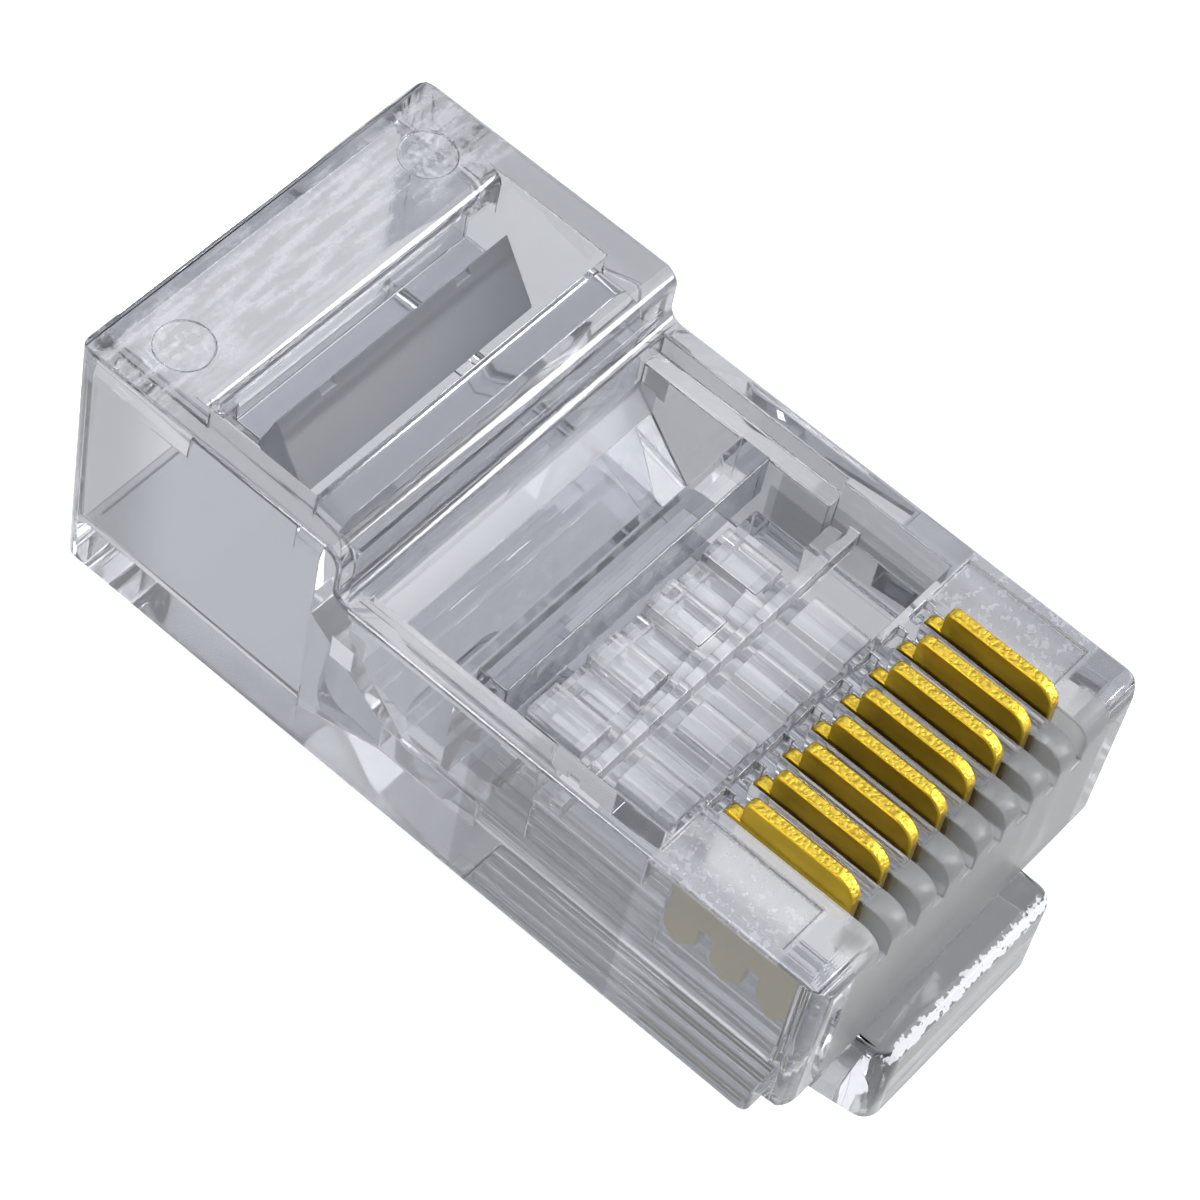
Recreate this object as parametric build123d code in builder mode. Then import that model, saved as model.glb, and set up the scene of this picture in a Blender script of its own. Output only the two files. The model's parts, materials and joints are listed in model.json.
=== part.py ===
from build123d import *
from math import radians, tan
import os

# A clear eight-position modular plug, as supplied, before it is crimped onto a cable.
# Millimetres. X is the width, centred. Y runs back from the nose face to the cable end.
# Z rises from the flat underside of the body to the contact side.

# Outside of the body
body_width = 11.68
body_length = 22.3
deck_height = 6.4
roof_step = 1.6
step_from_nose = 14.2
roof_corner_radius = 0.5
step_foot_radius = 0.4
nose_radius = 0.6
tail_radius = 0.18
plan_corner_radius = 0.5
side_edge_radius = 0.12
lip_height = 1.2
lip_depth = 0.85
lip_radius = 0.3

# Cable hall, funnel and conductor chamber, from the tail to the nose
side_wall = 0.9
floor_thickness = 0.9
roof_thickness = 0.8
hall_depth = 7.3
hall_corner = 0.6
mouth_chamfer = 0.35
throat_floor = 1.2
throat_height = 1.0
throat_roof = 0.55
throat_margin = 0.1
channel_diameter = 0.92
channel_end_wall = 1.0

# Contacts
ways = 8
pitch = 1.02
blade_thickness = 0.33
blade_length = 3.6
blade_from_nose = 1.0
blade_top = 7.2
blade_crown_radius = 0.6
blade_shoulder_length = 0.45
blade_shoulder_drop = 0.75
blade_shoulder_radius = 0.2
blade_tip_height = 2.7
prong_count = 3
prong_height = 1.2
prong_gap = 0.4
prong_point = 0.45
crimp_travel = 1.15
blade_side_clearance = 0.035
blade_end_clearance = 0.05
blade_floor_clearance = 0.1
spring_slot_height = 5.3
pick_notch_length = 0.25
pick_notch_depth = 0.3
pick_notch_width = 0.62

# Pocket in the deck, behind the contacts
nose_block_length = 5.1
pocket_rear_wall = 0.25
ledge_depth = 0.65
rear_rim = 0.6
front_rim = 0.78
rim_jog = 8.3
well_wall = 1.12
ramp_drop = 1.55
ramp_angle = 48
ramp_wall = 0.7

# Comb of ribs over the wire channels
comb_length = 4.7
comb_depth = 1.7
comb_margin = 0.06
cell_height = 0.35
cell_length = 1.65
cell_gap = 1.0
guide_ridge_width = 0.3
guide_ridge_height = 0.45
guide_wedge_end = 2.25
guide_wedge_rise = 0.65
guide_wedge_height = 0.25

# Conductor bar, standing in the pocket on a thin foot
conductor_bar_gap = 0.25
conductor_bar_thickness = 0.87
conductor_bar_drop = 0.4
conductor_bar_end_gap = 0.08
conductor_bar_face = 1.35
conductor_bar_bevel = 0.4
conductor_bar_foot = 0.22

# Jacket bar, hanging in the roof window from a thin hinge
window_front_wall = 1.55
window_length = 3.25
window_rim_radius = 0.35
hinge_wall = 0.45
hinge_thickness = 0.3
hinge_drop = 1.4
jacket_bar_end_gap = 1.0
jacket_bar_hinge_length = 0.75
jacket_bar_apex_drop = 0.35
jacket_bar_height = 1.75
jacket_bar_rake = 1.1
jacket_bar_back = 0.35
jacket_bar_heel = 0.13
notch_width = 0.45
notch_depth = 0.2
notch_spacing = 4.6

# Moulding marks on the roof and frosted pads on the deck
pin_mark_diameter = 1.45
pin_mark_depth = 0.06
pin_mark_spacing = 8.2
pin_mark_from_tail = 1.7
pad_depth = 0.12
pad_margin = 0.34
pad_front = 1.45
pad_rear = 0.2

# Latch and the root that carries it
latch_width = 6.4
tongue_width = 3.25
root_reach = 0.95
root_top = 1.25
root_foot = 0.3
root_corner_radius = 0.5
root_edge_radius = 0.32
hinge_setback = 0.9
hinge_depth = 0.3
knuckle_radius = 0.6
knuckle_clearance = 0.04
root_parting = 0.08
root_bottom = -1.62
heel_from_nose = 0.65
heel_bottom = -1.91
arm_slope = 8.5
arm_thickness = 0.8
shoulder_from_nose = 8.36
shoulder_length = 1.6
shoulder_depth = 0.45
tongue_end = 14.3
tongue_corner_radius = 0.8
thumb_length = 2.2
thumb_depth = 0.25

# Sizes that follow
half_width = body_width / 2
roof_height = deck_height + roof_step
over = deck_height
hall_front = body_length - hall_depth
hall_width = body_width - 2 * side_wall
hall_ceiling = roof_height - roof_thickness
throat_ceiling = throat_floor + throat_height
throat_width = (ways - 1) * pitch + channel_diameter + throat_margin
channel_z = throat_floor + throat_height / 2
blade_rear = blade_from_nose + blade_length
blade_root = blade_tip_height + prong_height
slot_width = blade_thickness + 2 * blade_side_clearance
slot_front = blade_from_nose - blade_end_clearance
slot_rear = blade_rear + blade_end_clearance
slot_floor = blade_tip_height - crimp_travel - blade_floor_clearance
pocket_rear = step_from_nose - pocket_rear_wall
pocket_floor = throat_ceiling + throat_roof
pocket_half_width = half_width - well_wall
ramp_top = deck_height - ramp_drop
ramp_rise = tan(radians(ramp_angle))
ramp_foot = pocket_rear - (ramp_top - pocket_floor) / ramp_rise
throat_mouth = ramp_foot + ramp_wall
funnel_top = throat_ceiling + (hall_front - throat_mouth) * ramp_rise
comb_rear = nose_block_length + comb_length
comb_top = deck_height - comb_depth
comb_half_width = ways * pitch / 2 + comb_margin
window_front = step_from_nose + window_front_wall
window_rear = window_front + window_length
hinge_y = hinge_setback - root_reach
contact_places = [(i - (ways - 1) / 2) * pitch for i in range(ways)]


def across(y):
    """The plane that cuts the plug across, at a distance y behind the nose face."""
    return Plane.XZ.offset(-y)


def prism(points, half, mode=Mode.ADD):
    """A bar along X with a side outline of (y, z) points, half as wide to each side."""
    with BuildSketch(Plane.YZ) as profile:
        with BuildLine():
            Polyline(*points, close=True)
        make_face()
    extrude(profile.sketch, amount=half, both=True, mode=mode)


def block(x, y, z, mode=Mode.ADD):
    """A box between a pair of limits along each axis."""
    with Locations(((x[0] + x[1]) / 2, (y[0] + y[1]) / 2, (z[0] + z[1]) / 2)):
        Box(x[1] - x[0], y[1] - y[0], z[1] - z[0], mode=mode)


def arm_bottom(y):
    """The height of the underside of the latch arm at a distance y behind the nose."""
    return heel_bottom - (y - heel_from_nose) * tan(radians(arm_slope))


# The moulded housing, with both crimp bars still standing in it
with BuildPart() as housing:
    # Side outline: underside, tail, roof, step, deck, nose and the undercut below it
    outline = [
        ((lip_depth, 0), lip_radius),
        ((body_length, 0), tail_radius),
        ((body_length, roof_height), tail_radius),
        ((step_from_nose, roof_height), roof_corner_radius),
        ((step_from_nose, deck_height), step_foot_radius),
        ((0, deck_height), nose_radius),
        ((0, lip_height), lip_radius),
        ((lip_depth, lip_height), lip_radius),
    ]
    with BuildSketch(Plane.YZ):
        with BuildLine():
            corners, radii = zip(*outline)
            FilletPolyline(*corners, radius=radii, close=True)
        make_face()
    extrude(amount=half_width, both=True)
    for side in (0, -1):
        flank = housing.faces().filter_by(Axis.X).sort_by(Axis.X)[side]
        fillet(flank.edges(), side_edge_radius)
    # Corners of the nose and the tail, rounded in plan
    with BuildSketch():
        with Locations((0, body_length / 2)):
            RectangleRounded(body_width, body_length, plan_corner_radius)
    extrude(amount=roof_height, mode=Mode.INTERSECT)

    # Cable hall with a lead-in at its mouth
    with BuildSketch(across(body_length)):
        with Locations((0, (floor_thickness + hall_ceiling) / 2)):
            RectangleRounded(hall_width, hall_ceiling - floor_thickness, hall_corner)
    extrude(amount=hall_depth, mode=Mode.SUBTRACT)
    mouth = housing.faces().sort_by(Axis.Y)[-1].inner_wires()[0]
    chamfer(mouth.edges(), mouth_chamfer)

    # Funnel from the hall down to the row of conductors
    with BuildSketch(across(hall_front)):
        with Locations((0, (floor_thickness + funnel_top) / 2)):
            Rectangle(hall_width, funnel_top - floor_thickness)
    with BuildSketch(across(throat_mouth)):
        with Locations((0, channel_z)):
            Rectangle(throat_width, throat_height)
    loft(mode=Mode.SUBTRACT)
    block(
        (-throat_width / 2, throat_width / 2),
        (comb_rear, throat_mouth),
        (throat_floor, throat_ceiling),
        mode=Mode.SUBTRACT,
    )
    with BuildSketch(across(comb_rear)):
        with Locations(*[(x, channel_z) for x in contact_places]):
            Circle(channel_diameter / 2)
    extrude(amount=comb_rear - channel_end_wall, mode=Mode.SUBTRACT)

    # Pocket in the deck: the sunk rim, then the well with its ramp, then the front bay
    ledge = deck_height - ledge_depth
    rear_half_width = half_width - rear_rim
    block(
        (-rear_half_width, rear_half_width),
        (rim_jog, pocket_rear),
        (ledge, over + deck_height),
        mode=Mode.SUBTRACT,
    )
    well = [
        (rim_jog, pocket_floor),
        (ramp_foot, pocket_floor),
        (pocket_rear, ramp_top),
        (pocket_rear, deck_height),
        (rim_jog, deck_height),
    ]
    prism(well, pocket_half_width, mode=Mode.SUBTRACT)
    front_half_width = half_width - front_rim
    block(
        (-front_half_width, front_half_width),
        (nose_block_length, rim_jog),
        (comb_top, over + deck_height),
        mode=Mode.SUBTRACT,
    )

    # Comb: a block over the wire channels, two rows of raised cells and a guide ridge
    block(
        (-comb_half_width, comb_half_width),
        (rim_jog, comb_rear),
        (pocket_floor, comb_top),
    )
    cell_rows = [comb_rear - cell_length, comb_rear - 2 * cell_length - cell_gap]
    for row in cell_rows:
        for left in contact_places[::2]:
            cell = (left - pitch / 2, left + pitch / 2)
            block(cell, (row, row + cell_length), (comb_top, comb_top + cell_height))
    ridge_rear = cell_rows[0] - (cell_gap - guide_ridge_width) / 2
    block(
        (-front_half_width, front_half_width),
        (ridge_rear - guide_ridge_width, ridge_rear),
        (comb_top, comb_top + guide_ridge_height),
    )

    # Low wedge behind the guide ridge, wider towards the last contact
    with BuildSketch(Plane.XY.offset(comb_top)):
        with BuildLine():
            Polyline(
                (-comb_half_width, ridge_rear),
                (guide_wedge_end, ridge_rear),
                (guide_wedge_end, ridge_rear + guide_wedge_rise),
                close=True,
            )
        make_face()
    extrude(amount=guide_wedge_height)

    # Conductor bar on its thin foot
    bar_front = comb_rear + conductor_bar_gap
    bar_rear = bar_front + conductor_bar_thickness
    bar_top = deck_height - conductor_bar_drop
    conductor_bar = [
        (bar_front, bar_top),
        (bar_rear, bar_top),
        (bar_rear, pocket_floor),
        (bar_rear - conductor_bar_foot, pocket_floor),
        (bar_front + conductor_bar_bevel, bar_top - conductor_bar_face - conductor_bar_bevel),
        (bar_front, bar_top - conductor_bar_face),
    ]
    prism(conductor_bar, pocket_half_width - conductor_bar_end_gap)

    # Window through the roof, with a rounded rear rim
    block(
        (-hall_width / 2, hall_width / 2),
        (window_front, window_rear),
        (hall_ceiling - hall_corner, over + roof_height),
        mode=Mode.SUBTRACT,
    )
    rear_rim_edge = (
        housing.edges()
        .filter_by(Axis.X)
        .filter_by(lambda e: abs(e.center().Y - window_rear) < window_rim_radius)
        .sort_by(Axis.Z)[-1]
    )
    fillet(rear_rim_edge, window_rim_radius)

    # Jacket bar with its hinge and the wall that carries it
    apex_z = roof_height - jacket_bar_apex_drop
    base_z = apex_z - jacket_bar_height
    hinge_top = roof_height - hinge_drop
    heel_y = window_rear - jacket_bar_hinge_length
    apex_y = heel_y - jacket_bar_back
    jacket_bar = [
        (apex_y, apex_z),
        (heel_y, hinge_top),
        (window_rear, hinge_top),
        (window_rear, hall_ceiling),
        (window_rear + hinge_wall, hall_ceiling),
        (window_rear + hinge_wall, hinge_top - hinge_thickness),
        (heel_y, hinge_top - hinge_thickness),
        (heel_y, hinge_top - hinge_thickness - jacket_bar_heel),
        (apex_y - jacket_bar_rake, base_z),
    ]
    prism(jacket_bar, hall_width / 2 - jacket_bar_end_gap)
    for x in (-notch_spacing / 2, notch_spacing / 2):
        block(
            (x - notch_width / 2, x + notch_width / 2),
            (apex_y - jacket_bar_rake, heel_y),
            (apex_z - notch_depth, roof_height),
            mode=Mode.SUBTRACT,
        )

    # Slots for the blades, open at the nose where the spring contacts of a jack enter
    for x in contact_places:
        slot = (x - slot_width / 2, x + slot_width / 2)
        pick = (x - pick_notch_width / 2, x + pick_notch_width / 2)
        top = over + deck_height
        block(slot, (slot_front, slot_rear), (slot_floor, top), mode=Mode.SUBTRACT)
        block(slot, (-over, slot_front), (spring_slot_height, top), mode=Mode.SUBTRACT)
        notch_floor = deck_height - pick_notch_depth
        notch = (slot_rear, slot_rear + pick_notch_length)
        block(pick, notch, (notch_floor, top), mode=Mode.SUBTRACT)

    # Frosted pads beside the row of contacts, and the round pin marks on the roof
    pad_inner = contact_places[-1] + slot_width / 2 + pad_margin
    pad_outer = half_width - pad_margin
    for side in (-1, 1):
        pad = sorted((side * pad_inner, side * pad_outer))
        pad_length = (pad_front, nose_block_length - pad_rear)
        block(pad, pad_length, (deck_height - pad_depth, over + deck_height), mode=Mode.SUBTRACT)
    with BuildSketch(Plane.XY.offset(roof_height)):
        with Locations((0, body_length - pin_mark_from_tail)):
            with GridLocations(pin_mark_spacing, 0, 2, 1):
                Circle(pin_mark_diameter / 2)
    extrude(amount=-pin_mark_depth, mode=Mode.SUBTRACT)

    # Root of the latch below the nose, with the round seat that the latch turns in
    root_length = root_reach + lip_depth + root_foot
    with BuildSketch(Plane.XY.offset(-hinge_depth)) as root_plan:
        with Locations((0, root_length / 2 - root_reach)):
            Rectangle(latch_width, root_length)
        fillet(root_plan.vertices().group_by(Axis.Y)[0], root_corner_radius)
    extrude(amount=root_top + hinge_depth)
    root_rim = (
        housing.edges()
        .filter_by_position(Axis.Z, root_top, root_top)
        .filter_by_position(Axis.Y, -root_reach, -root_edge_radius)
    )
    fillet(root_rim, root_edge_radius)
    with BuildSketch(Plane.YZ):
        with Locations((hinge_y, -hinge_depth)):
            Circle(knuckle_radius + knuckle_clearance)
    extrude(amount=latch_width, both=True, mode=Mode.SUBTRACT)
housing.part.label = "housing"

# The latch: root block with its knuckle, sloping arm with two shoulders, thumb tongue
with BuildPart() as latch:
    # Side view: root block, sloping arm, deeper shoulders, thumb step
    shoulder_start = shoulder_from_nose - shoulder_length
    thumb_start = tongue_end - thumb_length
    side_view = [
        (-root_reach, -hinge_depth - root_parting),
        (-root_reach, root_bottom),
        (-root_reach / 2, root_bottom),
        (heel_from_nose, heel_bottom),
        (shoulder_start - shoulder_length, arm_bottom(shoulder_start - shoulder_length)),
        (shoulder_start, arm_bottom(shoulder_start) - shoulder_depth),
        (shoulder_from_nose, arm_bottom(shoulder_from_nose) - shoulder_depth),
        (shoulder_from_nose, arm_bottom(shoulder_from_nose)),
        (thumb_start, arm_bottom(thumb_start)),
        (thumb_start + thumb_depth, arm_bottom(thumb_start) - thumb_depth),
        (tongue_end, arm_bottom(tongue_end) - thumb_depth),
        (tongue_end, arm_bottom(tongue_end) + arm_thickness),
        (heel_from_nose, heel_bottom + arm_thickness),
        (hinge_y + knuckle_radius, -hinge_depth - root_parting),
    ]
    prism(side_view, latch_width / 2)

    # Plan outline: full width up to the shoulders, then the narrow tongue
    with BuildSketch(Plane.XY.offset(-over)) as plan:
        with Locations((0, (shoulder_from_nose - root_reach) / 2)):
            Rectangle(latch_width, shoulder_from_nose + root_reach)
        front = plan.vertices().group_by(Axis.Y)[0]
        fillet(front, root_corner_radius)
        with Locations((0, tongue_end / 2)):
            Rectangle(tongue_width, tongue_end)
        fillet(plan.vertices().group_by(Axis.Y)[-1], tongue_corner_radius)
    extrude(amount=2 * over, mode=Mode.INTERSECT)

    # Knuckle that turns in the seat of the root
    with BuildSketch(Plane.YZ):
        with Locations((hinge_y, -hinge_depth)):
            Circle(knuckle_radius)
    extrude(amount=latch_width / 2, both=True)
latch.part.label = "latch"

# One contact blade: crown, shoulder, and three prongs that pierce a conductor
prong_pitch = (blade_length + prong_gap) / prong_count
prong_width = prong_pitch - prong_gap
prongs = []
for i in range(prong_count):
    front = blade_from_nose + i * prong_pitch
    prongs += [
        (front, blade_root),
        (front, blade_tip_height + prong_point),
        (front + prong_width / 2, blade_tip_height),
        (front + prong_width, blade_tip_height + prong_point),
        (front + prong_width, blade_root),
    ]
with BuildPart() as blade:
    with BuildSketch(Plane.YZ) as profile:
        shoulder_y = blade_rear - blade_shoulder_length
        shoulder_z = blade_top - blade_shoulder_drop
        with BuildLine():
            Polyline(
                *prongs,
                (blade_rear, shoulder_z),
                (shoulder_y, shoulder_z),
                (shoulder_y, blade_top),
                (blade_from_nose, blade_top),
                close=True,
            )
        make_face()
        crown_front = profile.vertices().group_by(Axis.Y)[-1].sort_by(Axis.X)[0]
        fillet(crown_front, blade_crown_radius)
        crown_rear = profile.vertices().group_by(Axis.Y)[-1].sort_by(Axis.X)[-1]
        fillet(crown_rear, blade_shoulder_radius)
        heel = profile.vertices().group_by(Axis.X)[-1].sort_by(Axis.Y)[-1]
        fillet(heel, blade_shoulder_radius)
    extrude(amount=blade_thickness / 2, both=True)

os.makedirs("parts", exist_ok=True)
export_step(housing.part, "parts/housing.step")
export_step(latch.part, "parts/latch.step")
for i, x in enumerate(contact_places):
    with BuildPart() as contact:
        with Locations((x, 0, 0)):
            add(blade.part)
    contact.part.label = f"contact_{i + 1}"
    export_step(contact.part, f"parts/contact_{i + 1}.step")
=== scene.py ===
# %% [markdown]
# # A clear modular plug
#
# The real thing is an eight-position plug as it comes out of the bag: one clear polycarbonate
# moulding with a springy latch below its nose, and eight gold-flashed blades that stand proud
# because nobody has crimped them yet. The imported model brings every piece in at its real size
# and place, so this lesson only dresses them: moulded edges, clear plastic, gold, light.

# %% Load the frame
import json
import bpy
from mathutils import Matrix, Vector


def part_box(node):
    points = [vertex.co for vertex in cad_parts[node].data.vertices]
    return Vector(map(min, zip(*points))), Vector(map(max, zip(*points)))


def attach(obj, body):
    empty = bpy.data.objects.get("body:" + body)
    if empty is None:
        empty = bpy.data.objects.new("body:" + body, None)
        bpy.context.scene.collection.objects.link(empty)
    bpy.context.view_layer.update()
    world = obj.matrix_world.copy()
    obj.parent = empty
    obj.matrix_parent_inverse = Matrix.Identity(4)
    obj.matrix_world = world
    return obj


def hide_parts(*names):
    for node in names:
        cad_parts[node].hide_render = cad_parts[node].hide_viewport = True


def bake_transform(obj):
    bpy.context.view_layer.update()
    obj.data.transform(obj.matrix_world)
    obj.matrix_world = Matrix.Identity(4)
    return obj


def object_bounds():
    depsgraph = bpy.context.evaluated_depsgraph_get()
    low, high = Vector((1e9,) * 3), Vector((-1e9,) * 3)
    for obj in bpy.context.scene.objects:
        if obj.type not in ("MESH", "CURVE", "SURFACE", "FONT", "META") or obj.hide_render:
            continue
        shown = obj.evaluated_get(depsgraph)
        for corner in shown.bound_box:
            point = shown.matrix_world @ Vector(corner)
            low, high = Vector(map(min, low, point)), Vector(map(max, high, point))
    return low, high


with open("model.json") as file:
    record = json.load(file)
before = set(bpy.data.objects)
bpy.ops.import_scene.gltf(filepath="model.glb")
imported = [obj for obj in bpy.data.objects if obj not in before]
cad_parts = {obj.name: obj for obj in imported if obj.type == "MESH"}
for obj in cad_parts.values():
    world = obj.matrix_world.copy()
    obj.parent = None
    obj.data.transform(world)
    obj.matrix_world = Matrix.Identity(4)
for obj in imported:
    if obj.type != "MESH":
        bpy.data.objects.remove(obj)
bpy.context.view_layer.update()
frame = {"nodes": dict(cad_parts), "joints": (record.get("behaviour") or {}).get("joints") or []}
from types import SimpleNamespace

import bmesh
import bpy
import numpy as np
from mathutils import Matrix, Vector

MM = 0.001

# %% [markdown]
# ## What the frame knows
#
# The outer places, the hinge of the latch and the names of the blades are read from the frame,
# in millimetres. X is across, Y runs back from the nose face and Z is up.

# %% Read the frame
NODES = frame["nodes"]
CONTACTS = sorted(name for name in NODES if name.startswith("contact_"))
HOUSING_HIGH = np.array(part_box("housing")[1]) / MM
TAIL, ROOF = HOUSING_HIGH[1], HOUSING_HIGH[2]
LATCH_SIDE = np.array(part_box("latch")[1])[0] / MM
HINGE = next(np.array(j["pos_m"]) / MM for j in frame["joints"] if j["name"] == "latch_hinge")
print("roof", ROOF, "tail", TAIL, "hinge", HINGE)

# %% [markdown]
# ## Shader sums written as sums
#
# A material on this plug is mostly arithmetic on the place of a point: "matt where the height
# is near the deck and the side is beyond the last contact". Wiring that by hand takes dozens of
# Math nodes, so a small class wraps a socket and adds the nodes when Python adds or multiplies.

# %% A socket that can be added and multiplied
class Wire:
    """A value in a material. An operator on it adds a Math node and gives the result's wire."""

    def __init__(self, sheet, socket):
        self.sheet, self.socket = sheet, socket

    def _sum(self, operation, a, b):
        return self.sheet.node("ShaderNodeMath", {"operation": operation}, [a, b])

    def __add__(self, other):
        return self._sum("ADD", self, other)

    def __radd__(self, other):
        return self._sum("ADD", other, self)

    def __sub__(self, other):
        return self._sum("SUBTRACT", self, other)

    def __rsub__(self, other):
        return self._sum("SUBTRACT", other, self)

    def __mul__(self, other):
        return self._sum("MULTIPLY", self, other)

    def __rmul__(self, other):
        return self._sum("MULTIPLY", other, self)

    def __pow__(self, other):
        return self._sum("POWER", self, other)

    def __abs__(self):
        return self._sum("ABSOLUTE", self, 0.0)


print("a wire adds its own nodes")

# %% [markdown]
# ## The sheet that the nodes are laid on
#
# Everything that isn't a sum comes from one method, which takes a node's type, its settings and
# its sockets. The others name what this plug needs again and again: a point's place, the way
# that it faces, a soft step, a band between two places, a cloudy noise and a mixed colour. The
# Mix node keeps sockets for each kind of value, so its colour sockets are told by number.

# %% The nodes of a material or of the world
MIX_FIRST, MIX_SECOND, MIX_RESULT = 6, 7, 2


class Sheet:
    """The nodes of a material or of the world. They all get into it through node()."""

    def __init__(self, owner):
        self.owner = owner
        self.owner.use_nodes = True
        self.tree = self.owner.node_tree
        self.tree.nodes.clear()

    def node(self, kind, settings=None, inputs=None, out=0):
        """Adds a node: its settings first, then its sockets, by name or in order."""
        made = self.tree.nodes.new(kind)
        for key, value in (settings or {}).items():
            setattr(made, key, value)
        pairs = inputs.items() if isinstance(inputs, dict) else enumerate(inputs or [])
        for key, value in pairs:
            if isinstance(value, Wire):
                self.tree.links.new(value.socket, made.inputs[key])
            else:
                made.inputs[key].default_value = value
        return Wire(self, made.outputs[out]) if made.outputs else None

    def parts(self, vector):
        """The three numbers of a vector, as three wires."""
        split = self.node("ShaderNodeSeparateXYZ", {}, [vector]).socket.node
        return [Wire(self, socket) for socket in split.outputs]

    def place(self):
        """A point's place on the plug, in millimetres."""
        metres = self.node("ShaderNodeTexCoord", out="Object")
        return self.node(
            "ShaderNodeVectorMath", {"operation": "SCALE"}, {"Vector": metres, "Scale": 1 / MM}
        )

    def facing(self):
        """The way that the surface faces on the piece itself: three wires from -1 to 1."""
        return self.parts(self.node("ShaderNodeTexCoord", out="Normal"))

    def rise(self, value, edge, soft):
        """0 below the edge and 1 above it, in a smooth step as wide as soft. Falls if soft < 0."""
        return self.node(
            "ShaderNodeMapRange",
            {"interpolation_type": "SMOOTHSTEP"},
            {"Value": value, "From Min": edge - soft / 2, "From Max": edge + soft / 2},
        )

    def band(self, value, span, soft):
        """1 between the two places of a span, 0 outside them."""
        return self.rise(value, span[0], soft) * (1 - self.rise(value, span[1], soft))

    def capped(self, value):
        """The value, held between 0 and 1."""
        return self.node("ShaderNodeClamp", {}, {"Value": value})

    def noise(self, place, scale, detail, stretch=(1, 1, 1)):
        """Cloudy noise; scale is in clouds for each millimetre, stretch lengthens them."""
        mapped = self.node(
            "ShaderNodeMapping", {}, {"Vector": place, "Scale": [1 / s for s in stretch]}
        )
        return self.node(
            "ShaderNodeTexNoise", {}, {"Vector": mapped, "Scale": scale, "Detail": detail}
        )

    def patches(self, place, sides):
        """Another value between 0 and 1 in each box of a grid; the sides are in millimetres."""
        snapped = self.node("ShaderNodeVectorMath", {"operation": "SNAP"}, [place, sides])
        return self.node("ShaderNodeTexWhiteNoise", {}, {"Vector": snapped})

    def mix(self, factor, a, b):
        """A colour between two colours, each a wire or three numbers."""
        first, second = (c if isinstance(c, Wire) else (*c, 1.0) for c in (a, b))
        sockets = {"Factor": factor, MIX_FIRST: first, MIX_SECOND: second}
        return self.node("ShaderNodeMix", {"data_type": "RGBA"}, sockets, MIX_RESULT)

    def finish(self, shader, end="ShaderNodeOutputMaterial"):
        """Ends the nodes with this shader and gives back the material or the world."""
        self.node(end, {}, {"Surface": shader})
        return self.owner


print("the shader kit is ready")

# %% [markdown]
# ## Zones of the moulding
#
# One tool makes the whole moulding, but its steel isn't finished alike all over. The roof was
# left a little frosted, the pads beside the contacts are matt, the cells of the comb were cut
# one by one, and the walls were polished. Zones also carry painted light and painted shade:
# the chamber, the ramp and the left face of the latch root are painted lighter, and the roof,
# the rails, the bays, the walls, the jacket bar and the rest of the root darker. A painter
# would mask these zones off, and so does the material: each zone is a product of soft steps on
# the place of a point. Image masks could do it too, but they would need unwrapping, and these
# steps stay sharp at any distance.

# %% Where the zones are
DECK = 6.4
DECK_SKIN = (DECK - 0.2, DECK + 0.1)
ROOF_SKIN = 0.12
RAIL_SIDE = 5.2
PAD_SPAN, PAD_SIDE = (1.3, 4.95), 4.0
CHAMBER_SPAN, CHAMBER_SIDE, CHAMBER_FADE = (5.2, 9.9), 4.3, 3.1
COMB_LEVELS = (4.5, 5.4)
BAY_SPAN, BAY_TOP = (5.1, 9.9), 5.0
RAMP_SPAN = (11.0, 14.15)
STRIP_SPAN, STRIP_LEVELS = (13.45, 14.1), (4.3, 5.1)
JACKET_BAR_SPAN, JACKET_BAR_LEVELS, JACKET_BAR_SIDE = (16.7, 18.3), (5.7, 7.8), 4.0
RIB_DEPTH, RIB_SIDE, RIB_FOOT = 0.95, 4.7, 1.3
ROOT_REAR, ROOT_TOP = 0.7, 1.35
PIN_RADIUS, PIN_SIDE, PIN_PLACE = 0.7, 4.1, TAIL - 1.7


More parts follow.
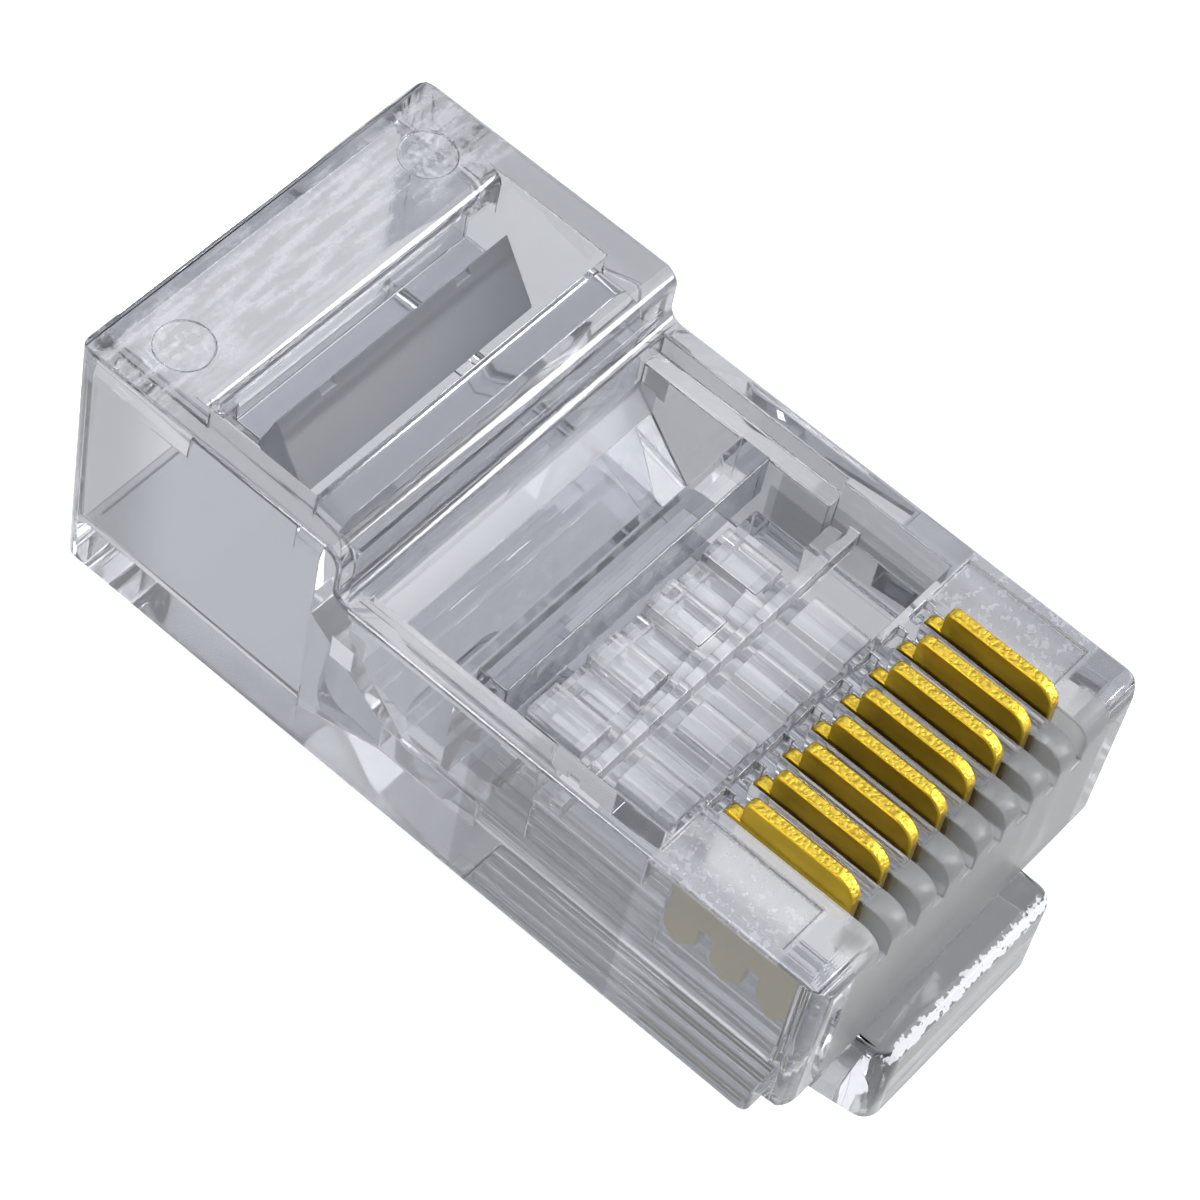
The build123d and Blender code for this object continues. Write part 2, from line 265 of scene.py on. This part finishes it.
def plastic_zones(sheet, place):
    """Masks of 0 to 1 for the places of the moulding that have a finish of their own, and for
    those that take painted light and shade.
    """
    x, y, z = sheet.parts(place)
    side, _, up = sheet.facing()
    out = abs(x)
    top = sheet.rise(up, 0.8, 0.2)
    deck = sheet.band(z, DECK_SKIN, 0.05)
    zone = SimpleNamespace(x=x, y=y, z=z, side=side, out=out)
    zone.roof = top * sheet.rise(z, ROOF - ROOF_SKIN, 0.1)
    zone.rails = top * deck * sheet.rise(out, RAIL_SIDE, 0.1)
    zone.pads = deck * sheet.rise(out, PAD_SIDE, 0.1) * sheet.band(y, PAD_SPAN, 0.1)
    zone.chamber = sheet.band(y, CHAMBER_SPAN, 0.1) * sheet.rise(out, CHAMBER_SIDE, -0.2)
    zone.chamber = zone.chamber * sheet.rise(x, CHAMBER_FADE, -0.8)
    zone.comb = zone.chamber * sheet.band(z, COMB_LEVELS, 0.1)
    zone.bays = sheet.band(y, BAY_SPAN, 0.1) * sheet.rise(out, CHAMBER_SIDE, 0.1)
    zone.bays = zone.bays * sheet.rise(z, BAY_TOP, -0.1)
    zone.ramp = sheet.band(y, RAMP_SPAN, 0.1)
    zone.strip = sheet.band(y, STRIP_SPAN, 0.05) * sheet.band(z, STRIP_LEVELS, 0.1)
    zone.jacket_bar = sheet.band(y, JACKET_BAR_SPAN, 0.05) * sheet.band(z, JACKET_BAR_LEVELS, 0.05)
    zone.jacket_bar = zone.jacket_bar * sheet.rise(out, JACKET_BAR_SIDE, -0.1)
    zone.ribs = sheet.rise(y, RIB_DEPTH, -0.3) * sheet.rise(out, RIB_SIDE, -0.3)
    zone.ribs = zone.ribs * sheet.rise(z, RIB_FOOT, 0.3)
    zone.root = sheet.rise(y, ROOT_REAR, -0.4) * sheet.rise(z, ROOT_TOP, -0.1)
    zone.walls = sheet.rise(abs(side), 0.9, 0.1)
    from_pin = ((out - PIN_SIDE) ** 2 + (y - PIN_PLACE) ** 2) ** 0.5
    zone.pins = zone.roof * sheet.rise(from_pin, PIN_RADIUS, -0.12)
    return zone


print("the roof's finish ends", ROOF_SKIN, "mm below it")

# %% [markdown]
# ## Wear and texture of the zones
#
# Frost on the roof lies in streaks along the mould's grinding marks, the pads and pins have
# bright specks, each cell of the comb came out a little differently, and the brow over the
# latch is scuffed to a ragged line; its white is also a painted highlight along that edge. Two
# noises and a grid of random patches carry all of it.

# %% What breaks the zones up
SPECK_SCALE = 6.0
STREAK_SCALE, STREAK_STRETCH = 1.5, (2.2, 0.4, 1.0)
CELL_SIDES = (0.51, 1.2, 10.0)
FROST_SPAN = (19.4, 22.0)
BROW_FRONT, BROW_FOOT = -0.74, 0.98


def add_texture(sheet, place, zone):
    """Adds the specks, the cells, the frost and the scuffed brow, whose white is also a painted
    highlight, to the zones.
    """
    grain = sheet.noise(place, SPECK_SCALE, 1.0)
    ragged = (grain - 0.5) * 0.6
    streaks = sheet.noise(place, STREAK_SCALE, 2.0, STREAK_STRETCH) + grain * 0.3
    zone.specks = sheet.rise(grain, 0.6, 0.1)
    zone.cells = sheet.patches(place, CELL_SIDES)
    zone.frost = zone.roof * sheet.rise(streaks, 0.68, 0.3) * sheet.band(zone.y, FROST_SPAN, 0.8)
    zone.brow = zone.root * sheet.rise(zone.y + ragged, BROW_FRONT, -0.06)
    zone.brow = zone.brow * sheet.rise(zone.z + ragged, BROW_FOOT, 0.06)


print("frost from", FROST_SPAN[0], "to", FROST_SPAN[1], "mm behind the nose")

# %% [markdown]
# ## Clear polycarbonate
#
# The moulding is water-clear but never invisible. It bends light strongly, which darkens its
# edges, and every wall takes a little lavender-grey out of the light. One Principled shader
# does it: its transmission is a little under full, which gives the haze of thick plastic, and
# the tint is its base colour. Glass in a white studio looks paler and flatter than a plug on a
# desk, so the tint also carries painted light and painted shade: some zones are tinted lighter
# and some darker, as the room would light them. The matt zones mix in a plain white shader,
# because frost scatters light and doesn't only blur it.

# %% Colours of the plastic
PLASTIC_TINT = (0.66, 0.675, 0.715)
# Pale end of the tint: painted light, and on the pins, pads and comb cells partly their own frost.
PLASTIC_PALE_AND_PAINTED_LIGHT = (0.97, 0.98, 1.0)
# Colour of the painted shade.
PLASTIC_PAINTED_SHADE = (0.22, 0.23, 0.25)
PLASTIC_WARM = (0.72, 0.715, 0.65)
PLASTIC_MATT = (0.84, 0.85, 0.87)
CLEARNESS = 0.92
PLASTIC_IOR = 1.585
MATT_ROUGHNESS = 0.6
# Painted shade on the roof grows towards the tail and the outer sides from these places, and on
# the walls towards the tail on the left and the nose on the right.
TAIL_FADE, SIDE_FADE = 21.5, 4.9
LEFT_SHADE_FROM, RIGHT_SHADE_TO = 20.0, 14.2


def plastic_colour(sheet, zone):
    """The tint that light takes in a wall, with painted light and painted shade by zone, warm on
    the ribs.
    """
    # Painted light: the chamber, the ramp and the left face of the latch root, a painted
    # reflection of the floor; the pins, pads and comb cells are also paler for their own frost and
    # tone.
    light = (
        zone.pins * 0.1
        + zone.pads * 0.25
        + zone.chamber * (0.35 + zone.cells * 0.5)
        + zone.ramp * 0.22
        + zone.root * sheet.rise(zone.side, -0.7, -0.2) * 0.35
    )
    # Painted shade on the walls, darker towards the tail on the left and towards the nose on the
    # right.
    left = sheet.rise(zone.x, 0.0, -1.0)
    shade = (
        0.04
        + left * sheet.rise(zone.y, LEFT_SHADE_FROM, 2.0) * 0.48
        + (1 - left) * sheet.rise(zone.y, RIGHT_SHADE_TO, -1.0) * 0.44
    )
    # Painted shade on the roof, deeper near the tail and the outer sides.
    rim = sheet.rise(zone.y, TAIL_FADE, 1.0) + sheet.rise(zone.out, SIDE_FADE, 0.5)
    # Painted shade on the latch root's top and right faces but not its brow, the jacket bar, the
    # rails, the walls, the bays and the roof, less where it is frosted.
    painted_shade = (
        (zone.root - zone.brow) * sheet.rise(zone.side, -0.7, 0.2)
        + zone.jacket_bar * 0.4
        + zone.rails * 0.25
        + zone.walls * shade
        + zone.bays * 0.6
        + zone.roof * (0.36 + rim * 0.2) * (1 - zone.frost * 0.6)
    )
    colour = sheet.mix(sheet.capped(light), PLASTIC_TINT, PLASTIC_PALE_AND_PAINTED_LIGHT)
    colour = sheet.mix(sheet.capped(painted_shade), colour, PLASTIC_PAINTED_SHADE)
    return sheet.mix(zone.ribs * 0.6, colour, PLASTIC_WARM)


print("light keeps", PLASTIC_TINT, "of itself at each wall")

# %% Clear plastic
def clear_plastic():
    """The clear moulding: a tinted see-through shader with a plain white one on its matt zones."""
    sheet = Sheet(bpy.data.materials.new("clear_polycarbonate"))
    place = sheet.place()
    zone = plastic_zones(sheet, place)
    add_texture(sheet, place, zone)
    rough = (
        zone.pads * 0.25
        + zone.ribs * 0.35
        + zone.comb * 0.05
        + zone.roof * 0.06
        + zone.frost * 0.2
        + zone.pins * 0.2
        + zone.jacket_bar * 0.5
    )
    matt = (
        zone.frost * 0.32
        + zone.pins * (0.05 + zone.specks * 0.25)
        + zone.pads * (0.15 + zone.specks * 0.2)
        + zone.ribs * 0.06
        + zone.comb * (0.14 + zone.cells * 0.4)
        # The brow's white is scuff and also a painted highlight.
        + zone.brow * 0.9
        + zone.strip * 0.7
    )
    clear_shader = sheet.node(
        "ShaderNodeBsdfPrincipled",
        {},
        {
            "Base Color": plastic_colour(sheet, zone),
            "Roughness": rough,
            "IOR": PLASTIC_IOR,
            "Transmission Weight": CLEARNESS,
        },
    )
    matt_shader = sheet.node(
        "ShaderNodeBsdfPrincipled",
        {},
        {"Base Color": (*PLASTIC_MATT, 1.0), "Roughness": MATT_ROUGHNESS},
    )
    return sheet.finish(
        sheet.node("ShaderNodeMixShader", {}, [sheet.capped(matt), clear_shader, matt_shader])
    )


CLEAR = clear_plastic()
print("made", CLEAR.name, "of", len(CLEAR.node_tree.nodes), "nodes")

# %% [markdown]
# ## Gold-flashed blades
#
# Each blade is sheared from bronze strip and gets a thin flash of gold. The broad sides are
# smooth and deep, while the crown that a jack's springs will touch is a sheared edge: coarse,
# sparkling and painted brighter where it faces up, as light from above makes it. Its ends that
# face forward or down get painted shade. The crown is told from the sides by the way that it
# faces. Between the blades little light comes down, so the gold is painted darker below the deck.

# %% Gold
GOLD_SIDE = (0.84, 0.58, 0.04)
GOLD_SHADE = (0.55, 0.37, 0.015)
# The crown's colour is partly painted light; the pit colour is also painted shade on the crown's
# ends.
GOLD_CROWN = (1.0, 0.74, 0.09)
GOLD_PIT_AND_SHADE = (0.74, 0.50, 0.05)
GOLD_DEEP = (0.30, 0.24, 0.05)
GRAIN_SCALE, GRAIN_HEIGHT = 9.0, 0.03
CLOUD_SCALE = 0.9
GOLD_ROUGHNESS = 0.42
DEEP_BELOW = DECK - 1.0


def gold():
    """Gold flash: smooth on the sides of a blade, speckled on its sheared crown, painted lighter
    on its top and darker on its ends and below the deck.
    """
    sheet = Sheet(bpy.data.materials.new("gold_flash"))
    place = sheet.place()
    z = sheet.parts(place)[2]
    side, _, up = sheet.facing()
    sheared = sheet.rise(abs(side), 0.5, -0.4)
    grain = sheet.rise(sheet.noise(place, GRAIN_SCALE, 2.0), 0.45, 0.3)
    clouds = sheet.rise(sheet.noise(place, CLOUD_SCALE, 2.0, (1, 2, 1)), 0.5, 0.5)
    broad = sheet.mix(clouds, GOLD_SHADE, GOLD_SIDE)
    crown = sheet.mix(grain, GOLD_PIT_AND_SHADE, GOLD_CROWN)
    # Painted light and shade: sheared faces that face up take the bright crown, the others the
    # darker pit colour.
    rim = sheet.mix(sheet.rise(up, 0.5, 0.6), GOLD_PIT_AND_SHADE, crown)
    colour = sheet.mix(sheared, broad, rim)
    # Painted shade below the deck, where little light comes down between the blades.
    colour = sheet.mix(sheet.rise(z, DEEP_BELOW, -1.0) * 0.7, colour, GOLD_DEEP)
    normal = sheet.node(
        "ShaderNodeBump",
        {},
        {"Strength": 0.6, "Distance": GRAIN_HEIGHT * MM, "Height": sheared * grain},
    )
    return sheet.finish(
        sheet.node(
            "ShaderNodeBsdfPrincipled",
            {},
            {
                "Base Color": colour,
                "Metallic": 1.0,
                "Roughness": GOLD_ROUGHNESS - sheared * 0.1,
                "Normal": normal,
            },
        )
    )


GOLD = gold()
print("made", GOLD.name, "of", len(GOLD.node_tree.nodes), "nodes")

# %% [markdown]
# ## Tools for the meshes
#
# The frame's meshes come in triangles. A bevel needs true edges, so each piece is copied into
# millimetres, welded, and its flat faces are made whole again before anything is rounded.

# %% Copies with true edges
WELD = 0.0005
FLAT_ANGLE = np.radians(0.5)


def welded_copy(node, name):
    """A copy of a node's mesh in millimetres, with its points welded."""
    mesh = NODES[node].data.copy()
    mesh.transform(Matrix.Scale(1 / MM, 4))
    mesh.materials.clear()
    form = bmesh.new()
    form.from_mesh(mesh)
    bmesh.ops.remove_doubles(form, verts=form.verts, dist=WELD)
    bmesh.ops.dissolve_degenerate(form, edges=form.edges, dist=WELD)
    form.to_mesh(mesh)
    form.free()
    piece = bpy.data.objects.new(name, mesh)
    bpy.context.scene.collection.objects.link(piece)
    return piece


def make_whole(piece):
    """Joins the coplanar triangles of each flat face, so that only true edges are left."""
    form = bmesh.new()
    form.from_mesh(piece.data)
    bmesh.ops.remove_doubles(form, verts=form.verts, dist=WELD)
    bmesh.ops.dissolve_limit(
        form, angle_limit=FLAT_ANGLE, verts=form.verts, edges=form.edges, delimit=set()
    )
    bmesh.ops.connect_verts_concave(form, faces=form.faces)
    form.to_mesh(piece.data)
    form.free()


print("points closer than", WELD, "mm are welded")

# %% Modifiers and the way back to metres
def applied(piece, kind, **settings):
    """Adds one modifier to a piece and applies it."""
    modifier = piece.modifiers.new(kind.lower(), kind)
    for key, value in settings.items():
        setattr(modifier, key, value)
    depsgraph = bpy.context.evaluated_depsgraph_get()
    mesh = bpy.data.meshes.new_from_object(piece.evaluated_get(depsgraph))
    piece.modifiers.clear()
    piece.data = mesh


def to_metres(piece, material):
    """Brings a piece back to metres and gives it its one material."""
    mesh = piece.data
    mesh.transform(Matrix.Scale(MM, 4))
    mesh.materials.clear()
    mesh.materials.append(material)
    mesh.update()


print("pieces are shaped in millimetres and kept in metres")

# %% [markdown]
# ## Closing the latch's joint
#
# On the real plug the latch grows out of the nose, and bends there. The frame has it as two
# bodies with a round joint and a thin parting between them. A clear part can't hide that joint,
# so the top of the latch is lifted across the parting, and a round filler goes into the seat.

# %% Latch and nose without a gap
PARTING = 0.08
SEAT_RADIUS = 0.65
SEAT_STEPS = 24
LEVEL_SLACK = 0.004
SEAM_REACH = 0.05


def points_of(piece):
    """The points of a piece as an array with a row for each."""
    points = np.empty(len(piece.data.vertices) * 3)
    piece.data.vertices.foreach_get("co", points)
    return points.reshape(-1, 3)


def close_parting(piece, level, other):
    """Lifts the points of a piece on one level to the nearest points of the piece above it."""
    points, targets = points_of(piece), points_of(other)
    targets = targets[abs(targets[:, 2] - level - PARTING) < LEVEL_SLACK]
    for i in np.flatnonzero(abs(points[:, 2] - level) < LEVEL_SLACK):
        points[i, 2] = level + PARTING
        away = np.linalg.norm(targets - points[i], axis=1)
        if away.min() < SEAM_REACH:
            points[i] = targets[away.argmin()]
    piece.data.vertices.foreach_set("co", points.ravel())
    piece.data.update()


def half_rod(name, centre, radius, half_length, depth):
    """A closed bar along X: points centre + radius (cos a, sin a), a from 0 to pi, flat below."""
    a = np.linspace(0, np.pi, SEAT_STEPS)
    y = np.concatenate([radius * np.cos(a), [-radius * 0.98, radius * 0.88]])
    z = np.concatenate([radius * np.sin(a), [-depth, -depth]])
    ring = np.stack([0 * y, centre[1] + y, centre[2] + z], 1)
    points = np.concatenate([ring - [half_length, 0, 0], ring + [half_length, 0, 0]])
    i = np.arange(len(ring))
    j = (i + 1) % len(ring)
    walls = np.stack([i, j, j + len(ring), i + len(ring)], 1).tolist()
    caps = [i[::-1].tolist(), (i + len(ring)).tolist()]
    mesh = bpy.data.meshes.new(name)
    mesh.from_pydata(points.tolist(), [], walls + caps)
    piece = bpy.data.objects.new(name, mesh)
    bpy.context.scene.collection.objects.link(piece)
    return piece


moulding = welded_copy("housing", "clear_moulding")
latch_copy = welded_copy("latch", "latch_copy")
close_parting(latch_copy, HINGE[2] - PARTING, moulding)
filler = half_rod("seat_filler", HINGE, SEAT_RADIUS, LATCH_SIDE - 0.001, PARTING)
for other in (latch_copy, filler):
    applied(moulding, "BOOLEAN", operation="UNION", solver="EXACT", object=other)
    bpy.data.objects.remove(other)
make_whole(moulding)
print("moulding in one piece", len(moulding.data.vertices), "points")

# %% [markdown]
# ## Broken edges
#
# A moulded edge is never knife-sharp, and in clear plastic the thin rounded edges are what
# draws the shape. A bevel on marked edges does it. A few edges stay sharp, because a bevel
# would fold over itself there: the seam of the latch's joint and its two ends, where the filler
# meets the root at a glancing angle, and the rear corners of the roof window.

# %% Round the moulding's edges
EDGE_RADIUS = 0.05
SEAM_ANGLE = np.radians(24)
KEPT_SHARP = [
    ((0.0, -1.0, -0.34), (3.4, 1.3, -0.26)),
    ((3.0, -0.8, -1.1), (3.4, 0.7, 0.45)),
    ((4.8, 18.9, 7.5), (5.2, 19.6, 8.1)),
]


def soften(piece, kept_sharp):
    """Marks the edges that a mould would round: the sharp ones that are outside some boxes."""
    form = bmesh.new()
    form.from_mesh(piece.data)
    weight = form.edges.layers.float.new("bevel_weight_edge")
    for edge in form.edges:
        middle = np.array((edge.verts[0].co + edge.verts[1].co) / 2)
        middle[0] = abs(middle[0])
        spared = any((low < middle).all() and (middle < high).all() for low, high in kept_sharp)
        sharp = len(edge.link_faces) == 2 and edge.calc_face_angle() > SEAM_ANGLE
        edge[weight] = 1.0 if sharp and not spared else 0.0
    form.to_mesh(piece.data)
    form.free()


soften(moulding, KEPT_SHARP)
applied(
    moulding,
    "BEVEL",
    width=EDGE_RADIUS,
    segments=2,
    limit_method="WEIGHT",
    harden_normals=True,
    use_clamp_overlap=False,
)
to_metres(moulding, CLEAR)
print("moulding", len(moulding.data.vertices), "points", len(moulding.data.polygons), "faces")

# %% [markdown]
# ## One moulding for housing and latch
#
# The finished moulding stands in for the housing and the latch together, and the frame's own
# housing and latch are hidden. On the real plug the plastic bends over a short stretch at the
# hinge.

HINGE[1] * MM
HINGE[1] * MM
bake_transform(moulding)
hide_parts("housing", "latch")

# %% [markdown]
# ## The blades
#
# Each blade keeps its place and outline from the frame. Its sheared rim is rounded a little, as
# stamping and plating leave it, which is what catches the light along the crown.

# %% Blades
BLADE_EDGE = 0.055

for node in CONTACTS:
    blade = welded_copy(node, "blade_" + node.split("_")[1])
    make_whole(blade)
    applied(
        blade,
        "BEVEL",
        width=BLADE_EDGE,
        segments=4,
        limit_method="ANGLE",
        angle_limit=SEAM_ANGLE,
        harden_normals=True,
    )
    to_metres(blade, GOLD)
    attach(blade, node)
    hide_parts(node)
print("blades", len(CONTACTS))

# %% [markdown]
# ## Floor
#
# The plug was shot on a pale ground and cut out on white. A pale floor that looks plain white
# to the camera, to reflections and to light that comes through the plastic gives the same
# ground, and still takes the shadow. From below it is open, so the underside can be seen.

# %% Floor
FLOOR_REACH = 0.6
FLOOR_GLOW = 0.64
FLOOR_GREY = (0.8, 0.8, 0.8, 1.0)
WHITE = (1.0, 1.0, 1.0, 1.0)


def floor_paint():
    """White to mirrors and through glass; to the eye a pale matt floor; from below it is open."""
    sheet = Sheet(bpy.data.materials.new("pale_floor"))
    eye, mirror, glass = (
        sheet.node("ShaderNodeLightPath", out=ray)
        for ray in ("Is Camera Ray", "Is Glossy Ray", "Is Transmission Ray")
    )
    matt = sheet.node("ShaderNodeBsdfDiffuse", {}, {"Color": FLOOR_GREY})
    glow = sheet.node("ShaderNodeEmission", {}, {"Color": WHITE, "Strength": FLOOR_GLOW})
    white = sheet.node("ShaderNodeEmission", {}, {"Color": WHITE, "Strength": 1.0})
    seen = sheet.node("ShaderNodeAddShader", {}, [matt, glow])
    lit = sheet.node("ShaderNodeMixShader", {}, [eye, matt, seen])
    top = sheet.node("ShaderNodeMixShader", {}, [sheet.capped(mirror + glass), lit, white])
    below = sheet.node("ShaderNodeNewGeometry", out="Backfacing")
    open_air = sheet.node("ShaderNodeBsdfTransparent")
    return sheet.finish(sheet.node("ShaderNodeMixShader", {}, [below, top, open_air]))


floor_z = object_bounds()[0][2]
corners = [(-FLOOR_REACH, -FLOOR_REACH), (FLOOR_REACH, -FLOOR_REACH)]
corners += [(-x, -y) for x, y in corners]
floor_mesh = bpy.data.meshes.new("floor")
floor_mesh.from_pydata([(x, y, floor_z) for x, y in corners], [], [(0, 1, 2, 3)])
floor_mesh.materials.append(floor_paint())
floor = bpy.data.objects.new("floor", floor_mesh)
bpy.context.scene.collection.objects.link(floor)
print("floor at", floor_z)

# %% [markdown]
# ## Lamps
#
# Clear plastic has no colour of its own to light. What shows it are the reflections on its
# rounded edges, and a wide soft box alone leaves them dull. So the key box is weak, and two tall
# narrow strips at the front and at the left draw the crisp white lines along the edges that
# face them.

# %% Soft boxes
TARGET = Vector((0.0, 11.0, 3.0)) * MM
LAMP_DISTANCE = 0.45


def toward(azimuth, elevation):
    """The direction at this azimuth, in degrees round from the nose, and this elevation."""
    a, e = np.radians(azimuth), np.radians(elevation)
    return Vector((np.sin(a) * np.cos(e), -np.cos(a) * np.cos(e), np.sin(e)))


def facing_back(away):
    """The turn of a lamp or camera that stands in this direction and looks back."""
    return away.to_track_quat("Z", "Y").to_matrix().to_4x4()


def soft_lamp(name, azimuth, elevation, sides, glow):
    """A soft box turned to face the plug; its power is glow times pi times its area."""
    lamp = bpy.data.lights.new(name, "AREA")
    lamp.shape = "RECTANGLE"
    lamp.size, lamp.size_y = sides
    lamp.energy = glow * np.pi * sides[0] * sides[1]
    away = toward(azimuth, elevation)
    holder = bpy.data.objects.new(name, lamp)
    holder.matrix_world = Matrix.Translation(TARGET + away * LAMP_DISTANCE) @ facing_back(away)
    bpy.context.scene.collection.objects.link(holder)


soft_lamp("key_box", 45, 42, (0.45, 0.45), 1.3)
soft_lamp("front_strip", 36, 22, (0.07, 0.28), 12)
soft_lamp("left_strip", -109, 30, (0.07, 0.3), 9)
print("lamps stand", LAMP_DISTANCE, "m away")

# %% [markdown]
# ## World
#
# The rest of the light is a plain room, dim near the horizon and bright overhead. The dim
# horizon darkens the walls that mirror it, which is what gives clear plastic its grey. The
# camera sees white in its place.

# %% Sky
SKY_LOW = (0.26, 0.26, 0.29)
SKY_HIGH = (0.80, 0.80, 0.86)


def studio_sky(world):
    """Dim near the horizon and bright overhead, like a room with a white ceiling."""
    sheet = Sheet(world)
    up = sheet.parts(sheet.node("ShaderNodeTexCoord", out="Generated"))[2]
    eye = sheet.node("ShaderNodeLightPath", out="Is Camera Ray")
    room = sheet.mix(sheet.rise(up, 0.5, 1.0), SKY_LOW, SKY_HIGH)
    colour = sheet.mix(eye, room, WHITE[:3])
    background = sheet.node("ShaderNodeBackground", {}, {"Color": colour, "Strength": 1.0})
    return sheet.finish(background, "ShaderNodeOutputWorld")


bpy.context.scene.world = studio_sky(bpy.data.worlds.new("studio"))
print("sky from", SKY_LOW, "to", SKY_HIGH)

# %% [markdown]
# ## Camera
#
# The photograph was taken from the front left and well above, with a long lens and the phone
# turned a little. The angles below were solved from the width, the contact pitch and the
# corners of the plug. Light crosses up to eight walls of the plug on its way, so ten bounces
# are kept; with fewer the stacked walls turn black.

# %% Camera and bounces
AZIMUTH, ELEVATION, ROLL = -60.72, 54.79, 14.0
CAMERA_DISTANCE = 102.8
AIM = Vector((-0.05, 10.914, 4.0)) * MM
FIELD_OF_VIEW = 15.293
NEAREST = 0.001
WALLS_CROSSED = 10

back = toward(AZIMUTH, ELEVATION)
lens = bpy.data.cameras.new("camera")
lens.angle = np.radians(FIELD_OF_VIEW)
lens.clip_start = NEAREST
camera = bpy.data.objects.new("camera", lens)
camera.matrix_world = (
    Matrix.Translation(AIM + back * CAMERA_DISTANCE * MM)
    @ facing_back(back)
    @ Matrix.Rotation(np.radians(ROLL), 4, "Z")
)
bpy.context.scene.collection.objects.link(camera)
bpy.context.scene.camera = camera
bpy.context.scene.view_settings.view_transform = "Standard"
bpy.context.scene.cycles.transmission_bounces = WALLS_CROSSED
bpy.context.scene.cycles.glossy_bounces = WALLS_CROSSED
bpy.context.scene.cycles.max_bounces = WALLS_CROSSED
bpy.context.scene.cycles.diffuse_bounces = 2
print("camera", CAMERA_DISTANCE, "mm from", [round(c / MM, 3) for c in AIM])
